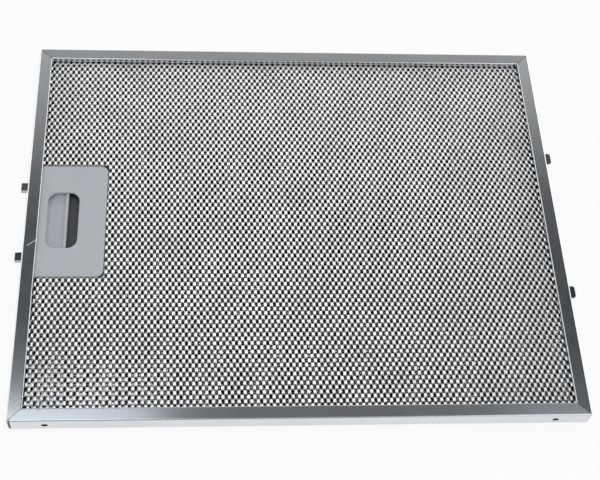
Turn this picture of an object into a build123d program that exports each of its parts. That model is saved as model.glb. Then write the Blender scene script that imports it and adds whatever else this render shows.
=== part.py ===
"""Grease filter for a cooker hood: a folded frame round a pack of expanded mesh, with a sprung latch.

Sizes are in millimetres. The filter lies on its back on Z = 0 with its centre over the origin.
X runs along the long side with the latch at -X, Y runs from the front side to the rear side.
"""
import os
from math import cos, pi, sin

from build123d import *

# Frame, folded from one strip and closed at the front left corner
frame_length = 320.0
frame_width = 260.0
frame_height = 10.0
strip_sheet = 0.6
flange_width = 8.0
lip_drop = 2.2
fold_radius = 1.0
lip_radius = 0.8
corner_radius = 1.8
mitre_gap = 0.25
seam_gap = 0.4

# Drain slots in the front wall
drain_spacing = 280.0
drain_length = 2.8
drain_height = 1.2
drain_level = 5.0

# Mesh pack: a sheet of expanded mesh on each face, and two coarser ones each side of a core sheet
core_sheet = 0.8
pack_margin = 1.2
pack_border = 4.0
face_pitch_x = 30.6
face_pitch_y = 49.4
face_strand_x = 22.6
face_strand_y = 9.4
inner_pitch_x = 56.0
inner_pitch_y = 78.0
inner_strand_x = 9.0
inner_strand_y = 12.5

# Handle: a plate with a finger opening over a tray
handle_reach = 47.2
handle_width = 78.0
handle_corner = 4.5
handle_margin = 0.8
plate_recess = 2.5
plate_thickness = 1.2
plate_edge = 0.4
opening_offset = 12.4
opening_length = 18.6
opening_width = 39.0
opening_corner = 6.0
tray_wall = 1.6
tray_floor = 1.0
tongue_floor = 0.7
riser_wall = 0.8
rim_reach = 2.5
pad_length = 8.0
peg_size = 2.0
peg_length = 2.4
peg_room = 0.05
peg_block = 4.0
peg_inset = 3.2
peg_spacing = 26.0

# Latch: a dished slider that carries two bolts and is pushed out by two springs
latch_travel = 5.0
run_gap = 0.3
pack_gap = 0.4
finger_gap = 6.6
slab_width = 61.0
slab_length = 8.3
spring_seat = 2.4
dish_block_width = 44.0
dish_floor = 1.2
dish_wall = 1.4
dish_overlap = 0.3
dish_fillet = 1.0
bolt_spacing = 49.0
bolt_width = 5.3
bolt_reach = 4.6
bolt_tip = 0.5
bolt_head_width = 9.0
bolt_head_length = 2.4
bolt_cover = 2.0
spring_spacing = 52.6
spring_diameter = 2.7
spring_wire = 0.5
spring_turns = 5
spring_corners = 8
spring_axis_drop = 1.6
spring_peg_radius = 0.8
spring_peg_length = 3.0
post_thickness = 3.0
post_width = 10.5
guide_wall = 1.5

# Retaining lugs in the wall across from the latch
lug_spacing = 97.0
lug_width = 7.8
lug_sheet = 0.8
lug_reach = 4.6
lug_level = 5.2
lug_foot = 3.4
lug_root = 1.7
lug_dip = 0.8
lug_lift = 0.3
lug_corner = 1.5
lug_room = 0.1

# Frame faces
wall_out_x = frame_length / 2
wall_out_y = frame_width / 2
wall_in_x = wall_out_x - strip_sheet
wall_in_y = wall_out_y - strip_sheet
window_x = wall_out_x - flange_width
window_y = wall_out_y - flange_width

# Levels of the mesh pack
pack_bottom = lip_drop
pack_top = frame_height - lip_drop
mesh_sheet = (pack_top - pack_bottom - core_sheet) / 4
core_level = pack_bottom + 2 * mesh_sheet
pack_x = wall_in_x - pack_margin
pack_y = wall_in_y - pack_margin

# Places along X on the latch side
handle_left = handle_margin - wall_in_x
handle_right = handle_reach - wall_out_x
handle_half = handle_width / 2
tray_left = run_gap - window_x
riser_right = tray_left + riser_wall
opening_left = opening_offset - wall_out_x
opening_right = opening_left + opening_length
opening_middle = (opening_left + opening_right) / 2
block_left = riser_right + run_gap
block_right = opening_right - finger_gap
slab_right = block_left + spring_seat
slab_left = slab_right - slab_length
slab_half = slab_width / 2
post_left = block_right + latch_travel + run_gap
head_right = slab_right - bolt_cover
head_left = head_right - bolt_head_length
bolt_end = -wall_out_x - bolt_reach

# Levels of the handle and the latch
plate_top = frame_height - plate_recess
plate_under = plate_top - plate_thickness
tray_under = strip_sheet
floor_top = tray_under + tray_floor
tongue_top = pack_bottom + tongue_floor
slider_top = plate_under - run_gap
slab_under = tongue_top + run_gap
block_under = floor_top + run_gap
dish_level = block_under + dish_floor
bolt_level = (slider_top + slab_under) / 2
spring_level = slider_top - spring_axis_drop


def span(left, right, front, rear, mode=Mode.ADD):
    """A rectangle between two places along X and two along Y, in the open sketch."""
    with Locations(((left + right) / 2, (front + rear) / 2)):
        Rectangle(right - left, rear - front, mode=mode)


def lattice(step_x, step_y, starts, notch_right, notch_half):
    """Places in every second column and row from each start, clear of a sheet's border and notch."""
    columns = int((2 * (pack_x - pack_border)) // step_x) - 1
    rows = int((2 * (pack_y - pack_border)) // step_y) - 1
    places = []
    for first_column, first_row in starts:
        for column in range(first_column, columns, 2):
            for row in range(first_row, rows, 2):
                x = (column - (columns - 1) / 2) * step_x
                y = (row - (rows - 1) / 2) * step_y
                if x - step_x > notch_right or abs(y) - step_y > notch_half:
                    places.append((x, y))
    return places


def handle_outline(outline, left, inset):
    """Outline of the handle from a place on its left to its rounded right corners."""
    span(left, handle_right - inset, inset - handle_half, handle_half - inset)
    fillet(outline.vertices().group_by(Axis.X)[-1], handle_corner - inset)


os.makedirs("parts", exist_ok=True)

# Room inside the folded strip
with BuildPart() as strip_room:
    with BuildSketch(Plane.XY.offset(strip_sheet)):
        RectangleRounded(2 * wall_in_x, 2 * wall_in_y, corner_radius - strip_sheet)
    extrude(amount=frame_height - 2 * strip_sheet)
    ends = strip_room.edges().group_by(Axis.Z)
    chamfer(ends[0] + ends[-1], fold_radius - strip_sheet)

# Frame with flanges and turned-in lips on both faces
with BuildPart() as frame:
    with BuildSketch():
        RectangleRounded(frame_length, frame_width, corner_radius)
    extrude(amount=frame_height)
    ends = frame.edges().group_by(Axis.Z)
    fillet(ends[0] + ends[-1], fold_radius)
    add(strip_room.part, mode=Mode.SUBTRACT)
    with BuildSketch():
        span(-window_x, window_x, -window_y, window_y)
    extrude(amount=frame_height, mode=Mode.SUBTRACT)
    with BuildSketch(Plane.XY, Plane.XY.offset(frame_height - lip_drop)):
        Rectangle(2 * (window_x + strip_sheet), 2 * (window_y + strip_sheet))
        Rectangle(2 * window_x, 2 * window_y, mode=Mode.SUBTRACT)
    extrude(amount=lip_drop)
    for level in (0, frame_height):
        rim = frame.edges().filter_by_position(Axis.Z, level, level)
        rim = rim.filter_by_position(Axis.X, -window_x, window_x)
        fillet(rim.filter_by_position(Axis.Y, -window_y, window_y), lip_radius)
    mitre_end = flange_width + mitre_gap
    mitre_length = (mitre_end - fold_radius) * 2**0.5
    mitre_x = wall_out_x - (mitre_end + fold_radius) / 2
    mitre_y = wall_out_y - (mitre_end + fold_radius) / 2
    for side_x, side_y in ((-1, -1), (-1, 1), (1, -1), (1, 1)):
        for level in (lip_drop / 2, frame_height - lip_drop / 2):
            with Locations(Location((side_x * mitre_x, side_y * mitre_y, level), (0, 0, side_x * side_y * 45))):
                Box(mitre_length, mitre_gap, lip_drop, mode=Mode.SUBTRACT)
    with Locations((corner_radius - wall_out_x, (corner_radius - 2 * wall_out_y) / 2, frame_height / 2)):
        Box(seam_gap, corner_radius, frame_height, mode=Mode.SUBTRACT)
    with BuildSketch(Plane.XZ.offset(wall_in_y - strip_sheet)):
        with Locations((-drain_spacing / 2, drain_level), (drain_spacing / 2, drain_level)):
            SlotOverall(drain_length, drain_height)
    extrude(amount=3 * strip_sheet, mode=Mode.SUBTRACT)
    with Locations((-wall_out_x, -bolt_spacing / 2, bolt_level), (-wall_out_x, bolt_spacing / 2, bolt_level)):
        Box(4 * strip_sheet, bolt_width + 2 * run_gap, slider_top - slab_under + 2 * run_gap, mode=Mode.SUBTRACT)
    lug_slot = lug_level - lug_sheet / 2
    with Locations((wall_out_x, -lug_spacing / 2, lug_slot), (wall_out_x, lug_spacing / 2, lug_slot)):
        Box(4 * strip_sheet, lug_width + 2 * lug_room, lug_sheet + 2 * lug_room, mode=Mode.SUBTRACT)
frame.part.label = "frame"
export_step(frame.part, "parts/frame.step")

# Sheets of the mesh pack: staggered diamond gaps, and the core's gaps behind the face sheets' strands
notch_right = handle_right + pack_gap
notch_half = handle_half + pack_gap
face_cell = (face_pitch_x, face_pitch_y, face_strand_x, face_strand_y)
inner_cell = (inner_pitch_x, inner_pitch_y, inner_strand_x, inner_strand_y)
staggered = ((0, 0), (1, 1))
behind = ((1, 0),)
sheets = (
    ("rear_mesh", pack_bottom, mesh_sheet, face_cell, staggered, 0),
    ("rear_inner_mesh", pack_bottom + mesh_sheet, mesh_sheet, inner_cell, staggered, 0),
    ("core_mesh", core_level, core_sheet, face_cell, behind, rim_reach),
    ("front_inner_mesh", core_level + core_sheet, mesh_sheet, inner_cell, staggered, 0),
    ("front_mesh", pack_top - mesh_sheet, mesh_sheet, face_cell, staggered, 0),
)
for name, level, thickness, (pitch_x, pitch_y, strand_x, strand_y), starts, rim in sheets:
    gap_x = (pitch_x - strand_x) / 2
    gap_y = (pitch_y - strand_y) / 2
    with BuildPart() as sheet:
        with BuildSketch(Plane.XY.offset(level)):
            span(-pack_x, pack_x, -pack_y, pack_y)
            span(-pack_x, notch_right + rim, -notch_half - rim, notch_half + rim, mode=Mode.SUBTRACT)
            with Locations(*lattice(pitch_x / 2, pitch_y / 2, starts, notch_right + rim, notch_half + rim)):
                Polygon((-gap_x, 0), (0, -gap_y), (gap_x, 0), (0, gap_y), mode=Mode.SUBTRACT)
        extrude(amount=thickness)
    sheet.part.label = name
    export_step(sheet.part, f"parts/{name}.step")

# Pegs that hold the plate on the tray
peg_right = handle_right - tray_wall - peg_inset
peg_half = handle_half - tray_wall - peg_block / 2
peg_places = [(x, y) for x in (peg_right - peg_spacing, peg_right) for y in (-peg_half, peg_half)]

# Handle plate, tucked under the frame's lip on its left
with BuildPart() as handle_plate:
    with BuildSketch(Plane.XY.offset(plate_under)) as outline:
        handle_outline(outline, handle_left, 0)
        with Locations((opening_middle, 0)):
            RectangleRounded(opening_length, opening_width, opening_corner, mode=Mode.SUBTRACT)
    extrude(amount=plate_thickness)
    top_edges = handle_plate.faces().sort_by(Axis.Z)[-1].edges()
    chamfer(top_edges.sort_by(Axis.X)[1:], plate_edge)
    with BuildSketch(Plane.XY.offset(plate_top)):
        span(handle_left, -window_x, pad_length - handle_half, 2 * pad_length - handle_half)
        span(handle_left, -window_x, handle_half - 2 * pad_length, handle_half - pad_length)
    extrude(amount=pack_top - plate_top)
    with BuildSketch(Plane.XY.offset(plate_under)):
        with Locations(*peg_places):
            Rectangle(peg_size, peg_size)
    extrude(amount=-peg_length)
handle_plate.part.label = "handle_plate"
export_step(handle_plate.part, "parts/handle_plate.step")

# Handle tray behind the plate, with a rim between the sheets and a tongue between the frame's lips
with BuildPart() as handle_tray:
    with BuildSketch(Plane.XY.offset(tray_under)) as outline:
        handle_outline(outline, tray_left, 0)
    extrude(amount=plate_under - tray_under)
    with BuildSketch(Plane.XY.offset(pack_bottom)):
        span(handle_left, tray_left, -handle_half, handle_half)
    extrude(amount=plate_under - pack_bottom)
    with BuildSketch(Plane.XY.offset(core_level)) as outline:
        handle_outline(outline, tray_left, -rim_reach)
    extrude(amount=core_sheet)
    with BuildSketch(Plane.XY.offset(tongue_top)) as outline:
        handle_outline(outline, handle_left, tray_wall)
    extrude(amount=plate_under - tongue_top, mode=Mode.SUBTRACT)
    with BuildSketch(Plane.XY.offset(floor_top)) as outline:
        handle_outline(outline, riser_right, tray_wall)
    extrude(amount=tongue_top - floor_top, mode=Mode.SUBTRACT)
    guide_near = slab_half + run_gap
    guide_far = guide_near + guide_wall
    with BuildSketch(Plane.XY.offset(floor_top)):
        for side in (-1, 1):
            span(riser_right, slab_right + latch_travel, side * guide_near, side * guide_far)
            span(post_left, post_left + post_thickness, side * slab_half, side * (slab_half - post_width))
        with Locations(*peg_places):
            Rectangle(peg_block, peg_block)
    extrude(amount=plate_under - floor_top)
    with BuildSketch(Plane.XY.offset(tongue_top)):
        for side in (-1, 1):
            span(handle_left, riser_right, side * guide_near, side * guide_far)
    extrude(amount=plate_under - tongue_top)
    with BuildSketch(Plane.XY.offset(plate_under)):
        with Locations(*peg_places):
            Rectangle(peg_size + 2 * peg_room, peg_size + 2 * peg_room)
    extrude(amount=-peg_length - peg_room, mode=Mode.SUBTRACT)
    with BuildSketch(Plane.YZ.offset(post_left)):
        with Locations((-spring_spacing / 2, spring_level), (spring_spacing / 2, spring_level)):
            Circle(spring_peg_radius)
    extrude(amount=-spring_peg_length)
handle_tray.part.label = "handle_tray"
export_step(handle_tray.part, "parts/handle_tray.step")

# Latch slider: a slab for the bolts and a dished block for the finger
with BuildPart() as latch_slider:
    with BuildSketch(Plane.XY.offset(slab_under)):
        span(slab_left, slab_right, -slab_half, slab_half)
    extrude(amount=slider_top - slab_under)
    with BuildSketch(Plane.XY.offset(block_under)):
        span(block_left, block_right, -dish_block_width / 2, dish_block_width / 2)
    extrude(amount=slider_top - block_under)
    dish_left = opening_left - dish_overlap
    dish_right = block_right - dish_wall
    with BuildSketch(Plane.XY.offset(slider_top)):
        dish_half = opening_width / 2 + dish_overlap
        span(dish_left, dish_right, -dish_half, dish_half)
    extrude(amount=dish_level - slider_top, mode=Mode.SUBTRACT)
    dish_face = latch_slider.faces().filter_by(Axis.Z).filter_by_position(Axis.Z, dish_level, dish_level)
    fillet(dish_face.edges(), dish_fillet)
    with BuildSketch(Plane.XY.offset(slab_under)):
        for y in (-bolt_spacing / 2, bolt_spacing / 2):
            span(slab_left, head_right, y - bolt_width / 2, y + bolt_width / 2)
            span(head_left, head_right, y - bolt_head_width / 2, y + bolt_head_width / 2)
    extrude(amount=slider_top - slab_under, mode=Mode.SUBTRACT)
    with BuildSketch(Plane.YZ.offset(slab_right)):
        with Locations((-spring_spacing / 2, spring_level), (spring_spacing / 2, spring_level)):
            Circle(spring_peg_radius)
    extrude(amount=spring_peg_length)
latch_slider.part.label = "latch_slider"
export_step(latch_slider.part, "parts/latch_slider.step")

# Pieces that come in pairs, front and rear
for side, where in ((-1, "front"), (1, "rear")):
    bolt_y = side * bolt_spacing / 2
    with BuildPart() as latch_bolt:
        with BuildSketch(Plane.XY.offset(slab_under)):
            span(bolt_end, head_right, bolt_y - bolt_width / 2, bolt_y + bolt_width / 2)
            span(head_left, head_right, bolt_y - bolt_head_width / 2, bolt_y + bolt_head_width / 2)
        extrude(amount=slider_top - slab_under)
        tip = latch_bolt.faces().sort_by(Axis.X)[0]
        fillet(tip.edges(), bolt_tip)
    latch_bolt.part.label = f"latch_bolt_{where}"
    export_step(latch_bolt.part, f"parts/latch_bolt_{where}.step")

    coil_runs = spring_turns * spring_corners
    coil_step = (post_left - slab_right - 2 * spring_wire) / coil_runs
    coil_points = []
    for corner in range(coil_runs + 1):
        turn = corner / spring_corners * 2 * pi
        x = slab_right + spring_wire + corner * coil_step
        y = side * spring_spacing / 2 + spring_diameter / 2 * cos(turn)
        coil_points.append((x, y, spring_level + spring_diameter / 2 * sin(turn)))
    with BuildPart() as return_spring:
        with BuildLine() as coil:
            Polyline(*coil_points)
        with BuildSketch(Plane(coil.line @ 0, z_dir=coil.line % 0)):
            Rectangle(spring_wire, spring_wire)
        sweep(transition=Transition.RIGHT)
    return_spring.part.label = f"return_spring_{where}"
    export_step(return_spring.part, f"parts/return_spring_{where}.step")

    lug_front = side * lug_spacing / 2 + lug_width / 2
    foot_x = wall_in_x - lug_sheet
    dip_x = wall_out_x + lug_root
    end_x = wall_out_x + lug_reach
    dip_level = lug_level - lug_dip
    end_level = dip_level + lug_lift
    with BuildPart() as retaining_lug:
        with BuildSketch(Plane.XZ.offset(-lug_front)):
            with BuildLine():
                Polyline(
                    (foot_x, lug_level + lug_foot),
                    (wall_in_x, lug_level + lug_foot),
                    (wall_in_x, lug_level),
                    (wall_out_x, lug_level),
                    (dip_x, dip_level),
                    (end_x, end_level),
                    (end_x, end_level - lug_sheet),
                    (dip_x, dip_level - lug_sheet),
                    (wall_out_x, lug_level - lug_sheet),
                    (foot_x, lug_level - lug_sheet),
                    close=True,
                )
            make_face()
        extrude(amount=lug_width)
        lug_tip = retaining_lug.faces().sort_by(Axis.X)[-1]
        fillet(lug_tip.edges().filter_by(Axis.Z), lug_corner)
    retaining_lug.part.label = f"retaining_lug_{where}"
    export_step(retaining_lug.part, f"parts/retaining_lug_{where}.step")
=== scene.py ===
from math import pi, radians

import bmesh
import bpy
from mathutils import Matrix, Quaternion, Vector, noise


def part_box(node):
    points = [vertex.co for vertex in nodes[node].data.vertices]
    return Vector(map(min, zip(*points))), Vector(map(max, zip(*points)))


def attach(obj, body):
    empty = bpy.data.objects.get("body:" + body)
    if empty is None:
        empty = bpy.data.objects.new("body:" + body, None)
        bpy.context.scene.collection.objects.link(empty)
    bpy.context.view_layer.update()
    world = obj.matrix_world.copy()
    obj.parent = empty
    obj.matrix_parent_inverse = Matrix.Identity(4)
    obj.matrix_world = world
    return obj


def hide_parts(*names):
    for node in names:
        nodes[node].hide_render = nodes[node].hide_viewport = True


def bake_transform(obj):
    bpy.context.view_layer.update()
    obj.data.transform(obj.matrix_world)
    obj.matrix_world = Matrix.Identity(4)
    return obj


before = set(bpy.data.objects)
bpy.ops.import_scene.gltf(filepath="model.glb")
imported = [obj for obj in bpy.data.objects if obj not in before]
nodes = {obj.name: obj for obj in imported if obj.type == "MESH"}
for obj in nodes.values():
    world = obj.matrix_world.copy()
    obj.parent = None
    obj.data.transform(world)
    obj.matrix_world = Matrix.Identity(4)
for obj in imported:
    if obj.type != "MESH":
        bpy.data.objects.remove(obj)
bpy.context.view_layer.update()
scene = bpy.context.scene
mm = 0.001
print("frame loaded:", len(nodes), "nodes")


# node helpers

def addNode(tree, kind, **inputs):
    made = tree.nodes.new("ShaderNode" + kind)
    for name, value in inputs.items():
        plug(tree, made.inputs[name.replace("_", " ")], value)
    return made


def plug(tree, socket, value):  # a socket is linked, anything else is set
    if isinstance(value, bpy.types.NodeSocket):
        tree.links.new(value, socket)
    else:
        socket.default_value = value


def calc(tree, operation, *values):
    made = tree.nodes.new("ShaderNodeMath")
    made.operation = operation
    for socket, value in zip(made.inputs, values):
        plug(tree, socket, value)
    return made.outputs[0]


def spread(tree, value, low, high, start=0.0, end=1.0):  # value from start..end to low..high
    made = addNode(tree, "MapRange", Value=value)
    for name, number in (("From Min", start), ("From Max", end), ("To Min", low), ("To Max", high)):
        made.inputs[name].default_value = number
    return made.outputs["Result"]


def blendColour(tree, factor, first, second):  # sockets 6 and 7 are the Mix node's colours
    made = tree.nodes.new("ShaderNodeMix")
    made.data_type = "RGBA"
    plug(tree, made.inputs[0], factor)
    plug(tree, made.inputs[6], first)
    plug(tree, made.inputs[7], second)
    return made.outputs[2]


def colour(grey, warm=0.0):
    return (grey * (1 + warm), grey, grey * (1 - warm), 1)


def newGroup(name, inputs, output):
    tree = bpy.data.node_groups.new(name, "ShaderNodeTree")
    for label, kind, value in inputs:
        socket = tree.interface.new_socket(name=label, in_out="INPUT", socket_type="NodeSocket" + kind)
        if kind == "Float":
            socket.default_value = value
    tree.interface.new_socket(name=output, in_out="OUTPUT", socket_type="NodeSocketFloat")
    return tree, tree.nodes.new("NodeGroupInput").outputs, tree.nodes.new("NodeGroupOutput").inputs


def useGroup(tree, group, **inputs):
    made = tree.nodes.new("ShaderNodeGroup")
    made.node_tree = group
    for name, value in inputs.items():
        plug(tree, made.inputs[name], value)
    return made.outputs[0]


# shared effects

filmPattern = {"fineScale": 6.0, "broadShare": 0.6, "fineShare": 0.4, "span": (0.32, 0.68)}
linePattern = {"span": (0.25, 0.75)}
grainPattern = {"span": (0.3, 0.7)}


def makeHandledFilm():  # soft patches left by wiping and handling
    s = filmPattern
    tree, given, out = newGroup("handledFilm", [("Vector", "Vector", 0), ("Scale", "Float", 40)], "Film")
    broad = addNode(tree, "TexNoise", Vector=given["Vector"], Scale=given["Scale"], Detail=3.0, Roughness=0.6)
    fine = addNode(tree, "TexNoise", Vector=given["Vector"], Detail=4.0, Roughness=0.65)
    plug(tree, fine.inputs["Scale"], calc(tree, "MULTIPLY", given["Scale"], s["fineScale"]))
    broadPart = calc(tree, "MULTIPLY", broad.outputs["Fac"], s["broadShare"])
    both = calc(tree, "MULTIPLY_ADD", fine.outputs["Fac"], s["fineShare"], broadPart)
    plug(tree, out["Film"], spread(tree, both, 0.0, 1.0, *s["span"]))
    return tree


def makeRolledLines():  # fine lines along one axis, as rolling and drawing leave them
    tree, given, out = newGroup("rolledLines", [("Vector", "Vector", 0), ("Along", "Vector", 0)], "Lines")
    stretched = addNode(tree, "VectorMath")
    stretched.operation = "MULTIPLY"
    plug(tree, stretched.inputs[0], given["Vector"])
    plug(tree, stretched.inputs[1], given["Along"])
    lines = addNode(tree, "TexNoise", Vector=stretched.outputs[0], Scale=1.0, Detail=3.0, Roughness=0.7)
    plug(tree, out["Lines"], spread(tree, lines.outputs["Fac"], 0.0, 1.0, *linePattern["span"]))
    return tree


def makeFineGrain():  # even grain of a mould or of blasted metal
    tree, given, out = newGroup("fineGrain", [("Vector", "Vector", 0), ("Scale", "Float", 1500)], "Grain")
    grain = addNode(tree, "TexNoise", Vector=given["Vector"], Scale=given["Scale"], Detail=2.0, Roughness=0.5)
    plug(tree, out["Grain"], spread(tree, grain.outputs["Fac"], 0.0, 1.0, *grainPattern["span"]))
    return tree


handledFilm = makeHandledFilm()
rolledLines = makeRolledLines()
fineGrain = makeFineGrain()


def newFinish(name):
    made = bpy.data.materials.new(name)
    made.use_nodes = True
    tree = made.node_tree
    place = addNode(tree, "TexCoord").outputs["Object"]
    return made, tree, tree.nodes["Principled BSDF"], place


def bump(tree, shader, height, distance):
    made = addNode(tree, "Bump", Height=height, Distance=distance, Strength=1.0)
    tree.links.new(made.outputs["Normal"], shader.inputs["Normal"])


# finishes

frameFinish = {  # lengths in mm
    "tone": 0.76, "dullTone": 0.70, "warm": -0.03, "roughness": (0.19, 0.24), "filmScale": 26,
    "lineRun": 22, "lineCross": 2600, "lineDepth": 0.0015, "brushed": 0.65, "lineTurn": 0.25,
    "scratchAt": (-155.0, -17.8, 10.0), "scratchTurn": 37, "scratchLength": 5.6, "scratchWidth": 0.55,
    "scratchTone": 0.92, "scratchRoughness": 0.3, "scratchReach": 0.3,
    # the drain and seam entries size a painted shade, near black, that stands in for the dark openings of the
    # drain slots and the open seam
    "drainSpacing": 280.0, "drainLevel": 5.0, "drainShadeSize": (3.3, 2.8), "drainShadeSquareness": 4.0,
    "holeShadeTone": 0.03, "edgeReach": 0.9, "seamReach": 1.8, "seamTop": 0.6,
}


def makeFrameFinish():
    s = frameFinish
    made, tree, shader, place = newFinish("satinAluminium")
    film = useGroup(tree, handledFilm, Vector=place, Scale=s["filmScale"])
    split = addNode(tree, "SeparateXYZ", Vector=place).outputs
    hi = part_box("frame")[1]
    corner = hi.x - hi.y  # the mitres run where |x| - |y| has this value
    onSide = calc(tree, "GREATER_THAN", calc(tree, "SUBTRACT", calc(tree, "ABSOLUTE", split["X"]),
                                             calc(tree, "ABSOLUTE", split["Y"])), corner)
    run, cross = s["lineRun"], s["lineCross"]
    alongX = useGroup(tree, rolledLines, Vector=place, Along=(run, cross, cross))
    alongY = useGroup(tree, rolledLines, Vector=place, Along=(cross, run, cross))
    lines = calc(tree, "ADD", calc(tree, "MULTIPLY", alongY, onSide),
                 calc(tree, "MULTIPLY", alongX, calc(tree, "SUBTRACT", 1.0, onSide)))
    turned = addNode(tree, "Mapping", Vector=place)  # one rubbed scratch by the latch
    turned.vector_type = "TEXTURE"
    turned.inputs["Location"].default_value = Vector(s["scratchAt"]) * mm
    turned.inputs["Rotation"].default_value = (0, 0, radians(s["scratchTurn"]))
    rub = addNode(tree, "SeparateXYZ", Vector=turned.outputs[0]).outputs
    across = spread(tree, calc(tree, "ABSOLUTE", rub["Y"]), 1.0, 0.0, 0.0, s["scratchWidth"] * mm)
    within = calc(tree, "LESS_THAN", calc(tree, "ABSOLUTE", rub["X"]), s["scratchLength"] / 2 * mm)
    onTop = calc(tree, "GREATER_THAN", split["Z"], hi.z - s["scratchReach"] * mm)
    scratch = calc(tree, "MULTIPLY", calc(tree, "MULTIPLY", across, within), onTop)
    # painted shade: near-black patches on the front wall stand in for the shaded openings of the drain slots
    # and the gap of the open seam
    fromDrain = calc(tree, "SUBTRACT", calc(tree, "ABSOLUTE", split["X"]), s["drainSpacing"] / 2 * mm)
    fromLevel = calc(tree, "SUBTRACT", split["Z"], s["drainLevel"] * mm)
    fromMiddle = 0.0
    for gap, size in zip((fromDrain, fromLevel), s["drainShadeSize"]):
        share = calc(tree, "ABSOLUTE", calc(tree, "DIVIDE", gap, size / 2 * mm))
        fromMiddle = calc(tree, "ADD", fromMiddle, calc(tree, "POWER", share, s["drainShadeSquareness"]))
    inDrainShade = calc(tree, "LESS_THAN", fromMiddle, 1.0)
    onFront = calc(tree, "LESS_THAN", split["Y"], -hi.y + s["edgeReach"] * mm)
    onCorner = calc(tree, "LESS_THAN", split["X"], -hi.x + s["seamReach"] * mm)
    belowTop = calc(tree, "LESS_THAN", split["Z"], hi.z - s["seamTop"] * mm)
    seamShade = calc(tree, "MULTIPLY", onCorner, belowTop)
    paintedHoleShade = calc(tree, "MULTIPLY", onFront, calc(tree, "MAXIMUM", inDrainShade, seamShade))
    tone = blendColour(tree, film, colour(s["tone"], s["warm"]), colour(s["dullTone"], s["warm"]))
    # painted shade: the front wall turns near black over the drain slots and the open seam
    tone = blendColour(tree, paintedHoleShade, tone, colour(s["holeShadeTone"]))
    plug(tree, shader.inputs["Base Color"], blendColour(tree, scratch, tone, colour(s["scratchTone"])))
    worn = calc(tree, "MULTIPLY_ADD", scratch, s["scratchRoughness"], spread(tree, film, *s["roughness"]))
    plug(tree, shader.inputs["Roughness"], worn)
    shader.inputs["Metallic"].default_value = 1.0
    along = addNode(tree, "CombineXYZ", X=calc(tree, "SUBTRACT", 1.0, onSide), Y=onSide)
    plug(tree, shader.inputs["Tangent"], along.outputs[0])
    shader.inputs["Anisotropic"].default_value = s["brushed"]
    shader.inputs["Anisotropic Rotation"].default_value = s["lineTurn"]  # reflections spread across the lines
    bump(tree, shader, lines, s["lineDepth"] * mm)
    return made


foilFinish = {
    "tone": 0.88, "dullTone": 0.74, "roughness": (0.30, 0.42),
    # painted shade: the share below dims the deeper sheets' aluminium to stand in for the shade inside the
    # pack
    "innerShadeShare": 0.4, "innerRoughness": (0.09, 0.13),
    "filmScale": 60, "grain": 900, "grainDepth": 0.01,
}


def makeFoilFinish(name, roughness, share=1.0):  # share dims the sheets that lie deeper in the pack: painted shade, the same aluminium made darker where the pack's depths lie in shade
    s = foilFinish
    made, tree, shader, place = newFinish(name)
    film = useGroup(tree, handledFilm, Vector=place, Scale=s["filmScale"])
    tone = blendColour(tree, film, colour(s["tone"] * share), colour(s["dullTone"] * share))
    plug(tree, shader.inputs["Base Color"], tone)
    plug(tree, shader.inputs["Roughness"], spread(tree, film, *roughness))
    shader.inputs["Metallic"].default_value = 1.0
    bump(tree, shader, useGroup(tree, fineGrain, Vector=place, Scale=s["grain"]), s["grainDepth"] * mm)
    return made


plasticFinish = {
    "lightGrey": ((0.413, 0.431, 0.460, 1), (0.452, 0.468, 0.494, 1)),
    # painted shade: this near-black grey stands in for the shade down in the handle's finger pit
    "shadeGrey": ((0.060, 0.062, 0.064, 1), (0.085, 0.087, 0.089, 1)),
    "roughness": (0.48, 0.62), "filmScale": 45, "grain": 1700, "grainDepth": 0.012,
}


def makePlasticFinish(name, shade):
    s = plasticFinish
    made, tree, shader, place = newFinish(name)
    film = useGroup(tree, handledFilm, Vector=place, Scale=s["filmScale"])
    plug(tree, shader.inputs["Base Color"], blendColour(tree, film, *s[shade]))
    plug(tree, shader.inputs["Roughness"], spread(tree, film, *s["roughness"]))
    bump(tree, shader, useGroup(tree, fineGrain, Vector=place, Scale=s["grain"]), s["grainDepth"] * mm)
    return made


steelFinish = {
    "tone": 0.50, "dullTone": 0.36, "dullWarm": 0.05, "roughness": (0.14, 0.22), "filmScale": 220,
    "lineRun": 120, "lineCross": 2400, "lineDepth": 0.01,
}


def makeSteelFinish():
    s = steelFinish
    made, tree, shader, place = newFinish("pressedSteel")
    film = useGroup(tree, handledFilm, Vector=place, Scale=s["filmScale"])
    along = (s["lineRun"], s["lineCross"], s["lineCross"])
    lines = useGroup(tree, rolledLines, Vector=place, Along=along)
    tone = blendColour(tree, film, colour(s["tone"]), colour(s["dullTone"], s["dullWarm"]))
    plug(tree, shader.inputs["Base Color"], tone)
    plug(tree, shader.inputs["Roughness"], spread(tree, film, *s["roughness"]))
    shader.inputs["Metallic"].default_value = 1.0
    bump(tree, shader, lines, s["lineDepth"] * mm)
    return made


satinAluminium = makeFrameFinish()
brightFoil = makeFoilFinish("brightFoil", foilFinish["roughness"])
# painted shade: the deeper sheets get the same aluminium, dimmed to stand in for the shade inside the pack
shadedInnerFoil = makeFoilFinish("shadedInnerFoil", foilFinish["innerRoughness"], foilFinish["innerShadeShare"])
lightPlastic = makePlasticFinish("lightPlastic", "lightGrey")
# painted shade: a near-black copy of the handle plastic, standing in for the shade in the finger pit
paintedShadePlastic = makePlasticFinish("paintedShadePlastic", "shadeGrey")
pressedSteel = makeSteelFinish()
print("finishes made")


# CAD nodes that keep their own shape

def dress(name, finish):
    mesh = nodes[name].data
    mesh.materials.clear()
    mesh.materials.append(finish)


dress("frame", satinAluminium)
dress("handle_plate", lightPlastic)
dress("latch_slider", lightPlastic)
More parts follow.
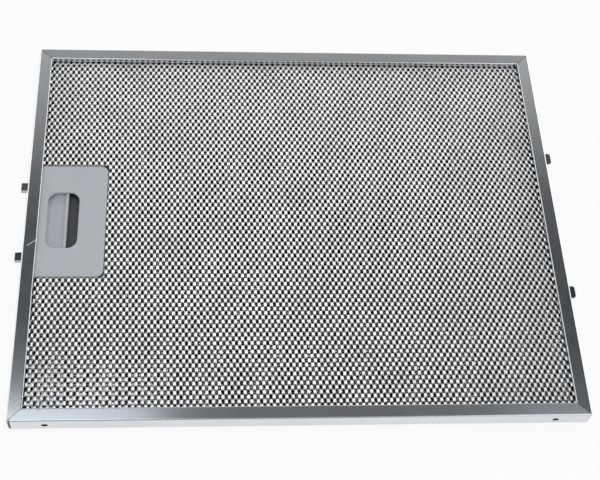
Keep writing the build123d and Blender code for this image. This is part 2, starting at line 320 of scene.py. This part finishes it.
# painted shade: the tray gets the near-black grey that stands in for the shade in the finger pit
dress("handle_tray", paintedShadePlastic)
for name in ("latch_bolt_front", "latch_bolt_rear", "retaining_lug_front", "retaining_lug_rear"):
    dress(name, pressedSteel)


def placePiece(bm, name, node, finish):
    mesh = bpy.data.meshes.new(name)
    bm.to_mesh(mesh)
    bm.free()
    mesh.materials.append(finish)
    piece = bpy.data.objects.new(name, mesh)
    scene.collection.objects.link(piece)
    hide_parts(node)
    return piece


# expanded sheets: one knuckle with its two strands, repeated over the sheet

faceFoil = {
    "pitchX": 3.51, "pitchY": 5.5, "bar": 0.86, "knuckle": 1.8, "web": 0.4, "ridge": 0.65, "lean": 0.027,
}
innerFoilCell = {
    "pitchX": 5.6, "pitchY": 9.4, "bar": 1.5, "knuckle": 1.6, "web": 0.5, "ridge": 0.06, "lean": 0.0,
}
coreFoilCell = {
    "pitchX": 4.4, "pitchY": 7.2, "bar": 2.0, "knuckle": 3.2, "web": 0.4, "ridge": 0.06, "lean": 0.0,
}
sheet = {  # mm, but overrun is a share of the sheet's length
    "inset": 3.0, "notchRoom": 0.4, "overrun": 1.05, "waveHeight": 0.12, "waveLength": 45.0,
    "cutMerge": 1e-5, "knuckleMerge": 1e-3,
}


def addKnuckle(bm, cell):  # the knuckle and its strands have roofs that meet in one ridge
    bar, ridge, half = cell["bar"], cell["ridge"], cell["knuckle"] / 2
    fork = half + cell["web"]
    corners = ((0, -half, ridge), (0, half, ridge), (-bar, -half, 0), (-bar, half, 0),
               (bar, -half, 0), (bar, half, 0), (0, -fork, 0), (0, fork, 0))
    top0, top1, left0, left1, right0, right1, fork0, fork1 = [bm.verts.new(corner) for corner in corners]
    bm.faces.new((top0, right0, right1, top1))
    bm.faces.new((top1, left1, left0, top0))
    bm.faces.new((left0, left1, fork1, right1, right0, fork0))
    for end, top, side, tip in ((1, top1, right1, fork1), (-1, top0, right0, fork0)):
        nextX, nextY = cell["pitchX"] / 2, end * cell["pitchY"] / 2
        farTop = bm.verts.new((nextX, nextY - end * half, ridge))
        farSide = bm.verts.new((nextX - bar, nextY - end * half, 0))
        farTip = bm.verts.new((nextX, nextY - end * fork, 0))
        bm.faces.new((top, side, farTip, farTop))
        bm.faces.new((farTop, farSide, tip, top))
        bm.faces.new((tip, farSide, farTip, side))


def repeat(bm, step, count):
    everything = bm.verts[:] + bm.edges[:] + bm.faces[:]
    bmesh.ops.spin(bm, geom=everything, cent=(0, 0, 0), axis=(0, 0, 1), dvec=step, angle=0,
                   steps=count, use_duplicate=True)


def trim(bm, at, out):  # cuts off what lies beyond a plane and keeps the rest
    everything = bm.verts[:] + bm.edges[:] + bm.faces[:]
    bmesh.ops.bisect_plane(bm, geom=everything, dist=sheet["cutMerge"], plane_co=at, plane_no=out,
                           clear_outer=True)


def cutNotch(bm, right, half):  # room for the handle at the sheet's left edge
    for at, out in (((right, 0, 0), (1, 0, 0)), ((0, half, 0), (0, 1, 0)), ((0, -half, 0), (0, 1, 0))):
        everything = bm.verts[:] + bm.edges[:] + bm.faces[:]
        bmesh.ops.bisect_plane(bm, geom=everything, dist=sheet["cutMerge"], plane_co=at, plane_no=out)
    inside = []
    for face in bm.faces:
        middle = face.calc_center_median()
        if middle.x < right and abs(middle.y) < half:
            inside.append(face)
    bmesh.ops.delete(bm, geom=inside, context="FACES")


def makeSheet(name, node, cell, finish, turn=0, flip=False):
    lo, hi = (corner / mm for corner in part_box(node))
    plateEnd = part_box("handle_plate")[1] / mm
    reachX, reachY = hi.x - sheet["inset"], hi.y - sheet["inset"]
    alongX, alongY = (reachY, reachX) if turn else (reachX, reachY)
    countX = int(2 * sheet["overrun"] * alongX / cell["pitchX"])
    countY = int(2 * sheet["overrun"] * alongY / cell["pitchY"])
    bm = bmesh.new()
    addKnuckle(bm, cell)
    repeat(bm, (cell["pitchX"] / 2, cell["pitchY"] / 2, 0), 1)
    repeat(bm, (cell["pitchX"], 0, 0), countX)
    repeat(bm, (0, cell["pitchY"], 0), countY)
    bmesh.ops.remove_doubles(bm, verts=bm.verts[:], dist=sheet["knuckleMerge"])
    lean = Matrix.Identity(4)
    lean[0][1] = -cell["lean"]
    centre = Matrix.Translation((-countX * cell["pitchX"] / 2, -countY * cell["pitchY"] / 2, 0))
    over = Matrix.Rotation(pi, 4, "Y") if flip else Matrix.Identity(4)
    around = Matrix.Rotation(radians(turn), 4, "Z")
    bmesh.ops.transform(bm, matrix=over @ around @ lean @ centre, verts=bm.verts[:])
    for side in (-1, 1):
        trim(bm, (side * reachX, 0, 0), (side, 0, 0))
        trim(bm, (0, side * reachY, 0), (0, side, 0))
    cutNotch(bm, plateEnd.x + sheet["notchRoom"], plateEnd.y + sheet["notchRoom"])
    edges = [edge for edge in bm.edges if edge.is_boundary]
    bmesh.ops.holes_fill(bm, edges=edges, sides=0)
    rise = cell["ridge"] + sheet["waveHeight"]
    level = lo.z + rise if flip else hi.z - rise
    for vert in bm.verts:
        spot = Vector((vert.co.x, vert.co.y, level)) / sheet["waveLength"]
        vert.co.z += level + sheet["waveHeight"] * noise.noise(spot)
    bmesh.ops.scale(bm, vec=(mm, mm, mm), verts=bm.verts[:])
    bmesh.ops.recalc_face_normals(bm, faces=bm.faces[:])
    piece = placePiece(bm, name, node, finish)
    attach(piece, "filter")
    print(name, len(piece.data.polygons), "faces")


makeSheet("frontFoil", "front_mesh", faceFoil, brightFoil)
makeSheet("frontInnerFoil", "front_inner_mesh", innerFoilCell, shadedInnerFoil, turn=90)
makeSheet("coreFoil", "core_mesh", coreFoilCell, shadedInnerFoil)
makeSheet("rearInnerFoil", "rear_inner_mesh", innerFoilCell, shadedInnerFoil, turn=90, flip=True)
makeSheet("rearFoil", "rear_mesh", faceFoil, brightFoil, flip=True)


# return springs

springWire = {"turns": 5, "wire": 0.5, "coil": 2.7, "sides": 8, "stepsPerTurn": 20}


def makeSpring(name, node):
    s = springWire
    lo, hi = (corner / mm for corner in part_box(node))
    middle = (lo + hi) / 2
    run = hi.x - lo.x - s["wire"]
    steps = s["turns"] * s["stepsPerTurn"]
    bm = bmesh.new()
    place = Matrix.Translation((lo.x + s["wire"] / 2, middle.y + s["coil"] / 2, middle.z))
    bmesh.ops.create_circle(bm, segments=s["sides"], radius=s["wire"] / 2, cap_ends=True,
                            matrix=place @ Matrix.Rotation(pi / 2, 4, "X"))
    bmesh.ops.spin(bm, geom=bm.faces[:] + bm.edges[:], cent=middle, axis=(1, 0, 0), dvec=(run / steps, 0, 0),
                   angle=2 * pi * s["turns"], steps=steps)
    bmesh.ops.scale(bm, vec=(mm, mm, mm), verts=bm.verts[:])
    bmesh.ops.recalc_face_normals(bm, faces=bm.faces[:])
    piece = placePiece(bm, name, node, pressedSteel)
    for face in piece.data.polygons:
        face.use_smooth = True
    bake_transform(piece)


makeSpring("springCoilFront", "return_spring_front")
makeSpring("springCoilRear", "return_spring_rear")
print("pieces made")


# floor, light and camera

studio = {
    "floorSize": 12.0, "floorTone": 0.86, "floorRoughness": 0.9, "floorWhite": 0.86,
    "skyTones": ((0.0, 1.0), (0.14, 1.0), (0.3, 0.54), (0.75, 0.54), (1.0, 0.34)),  # height, tone
    "frontShare": 0.85, "frontFrom": -0.6,  # the sky is dimmer toward -Y
    "flagAcross": (-0.7, -0.4, 1.1, 1.5), "flagAlong": (0.15, 0.52, 0.70, 0.84),  # X and Y over height
    "flagTone": 0.03, "flagWarm": -0.12, "flagLowest": 0.05,
}
softboxes = {  # place, size, brightness as seen in bright metal, warmth, shown in metal or not
    "topSoftbox": ((0, 0, 1.6), (1.6, 1.6), 1.05, 0.0, False),
    "rightSoftbox": ((1.15, 0.75, 0.34), (1.1, 0.6), 1.7, 0.0, True),
    "leftSoftbox": ((-1.15, 0.8, 0.55), (1.0, 0.6), 1.3, 0.0, True),
    "overLeftSoftbox": ((-0.25, -0.02, 0.62), (0.335, 0.32), 1.6, -0.08, True),
    "overRightSoftbox": ((0.44, -0.12, 0.62), (0.34, 0.40), 1.1, -0.08, True),
    "frontSoftbox": ((0.5, -0.75, 0.75), (0.55, 0.5), 0.9, 0.0, True),
}


def makeFloor():
    mesh = bpy.data.meshes.new("floor")
    bm = bmesh.new()
    bmesh.ops.create_grid(bm, x_segments=1, y_segments=1, size=studio["floorSize"] / 2)
    bm.to_mesh(mesh)
    bm.free()
    floor = bpy.data.objects.new("floor", mesh)
    scene.collection.objects.link(floor)
    made = bpy.data.materials.new("paleFloor")
    made.use_nodes = True
    tree = made.node_tree
    matt = tree.nodes["Principled BSDF"]
    matt.inputs["Base Color"].default_value = colour(studio["floorTone"])
    matt.inputs["Roughness"].default_value = studio["floorRoughness"]
    white = addNode(tree, "Emission", Strength=1.0)
    ray = addNode(tree, "LightPath").outputs
    mirrored = calc(tree, "MAXIMUM", ray["Is Glossy Ray"], ray["Is Transmission Ray"])
    seen = calc(tree, "MAXIMUM", ray["Is Camera Ray"], mirrored)
    both = addNode(tree, "MixShader")
    plug(tree, both.inputs[0], calc(tree, "MULTIPLY", seen, studio["floorWhite"]))
    tree.links.new(matt.outputs[0], both.inputs[1])
    tree.links.new(white.outputs[0], both.inputs[2])
    tree.links.new(both.outputs[0], tree.nodes["Material Output"].inputs["Surface"])
    mesh.materials.append(made)


def makeSky():  # white round the horizon, with a dark flag overhead that the metal reflects
    world = bpy.data.worlds.new("studioSky")
    scene.world = world
    world.use_nodes = True
    tree = world.node_tree
    toward = addNode(tree, "SeparateXYZ", Vector=addNode(tree, "TexCoord").outputs["Generated"]).outputs
    tones = addNode(tree, "ValToRGB", Fac=toward["Z"])
    stops = tones.color_ramp.elements
    stops.remove(stops[1])
    for k, (place, tone) in enumerate(studio["skyTones"]):
        stop = stops[0] if k == 0 else stops.new(place)
        stop.position = place
        stop.color = colour(tone)
    nearSide = spread(tree, toward["Y"], studio["frontShare"], 1.0, studio["frontFrom"], 0.0)
    dimmed = blendColour(tree, nearSide, colour(0.0), tones.outputs["Color"])
    height = calc(tree, "MAXIMUM", toward["Z"], studio["flagLowest"])
    flag = 1.0
    for axis, edges in (("X", studio["flagAcross"]), ("Y", studio["flagAlong"])):
        place = calc(tree, "DIVIDE", toward[axis], height)
        flag = calc(tree, "MULTIPLY", flag, spread(tree, place, 0.0, 1.0, edges[0], edges[1]))
        flag = calc(tree, "MULTIPLY", flag, spread(tree, place, 1.0, 0.0, edges[2], edges[3]))
    tone = blendColour(tree, flag, dimmed, colour(studio["flagTone"], studio["flagWarm"]))
    tree.links.new(tone, tree.nodes["Background"].inputs["Color"])


def makeLamp(name, at, size, brightness, warm, inMetal):
    lamp = bpy.data.lights.new(name, "AREA")
    lamp.shape = "RECTANGLE"
    lamp.size, lamp.size_y = size
    lamp.energy = brightness * pi * size[0] * size[1]
    lamp.color = colour(1.0, warm)[:3]
    made = bpy.data.objects.new(name, lamp)
    made.location = at
    made.rotation_euler = (-Vector(at)).to_track_quat("-Z", "Y").to_euler()
    made.visible_camera = False
    made.visible_glossy = inMetal
    scene.collection.objects.link(made)


view = {  # mm and degrees
    "at": (-54.16, -393.98, 614.94), "aim": (2.02, -15.71, 10.0), "roll": 7.184, "lens": 72.454, "sensor": 36,
}


def makeCamera():
    camera = bpy.data.objects.new("camera", bpy.data.cameras.new("camera"))
    camera.data.lens = view["lens"]
    camera.data.sensor_width = view["sensor"]
    camera.location = Vector(view["at"]) * mm
    look = (Vector(view["aim"]) - Vector(view["at"])).to_track_quat("-Z", "Y")
    camera.rotation_euler = (look @ Quaternion((0, 0, 1), radians(view["roll"]))).to_euler()
    scene.collection.objects.link(camera)
    scene.camera = camera


makeFloor()
makeSky()
for name, setting in softboxes.items():
    makeLamp(name, *setting)
makeCamera()
scene.view_settings.view_transform = "Standard"
print("studio made")
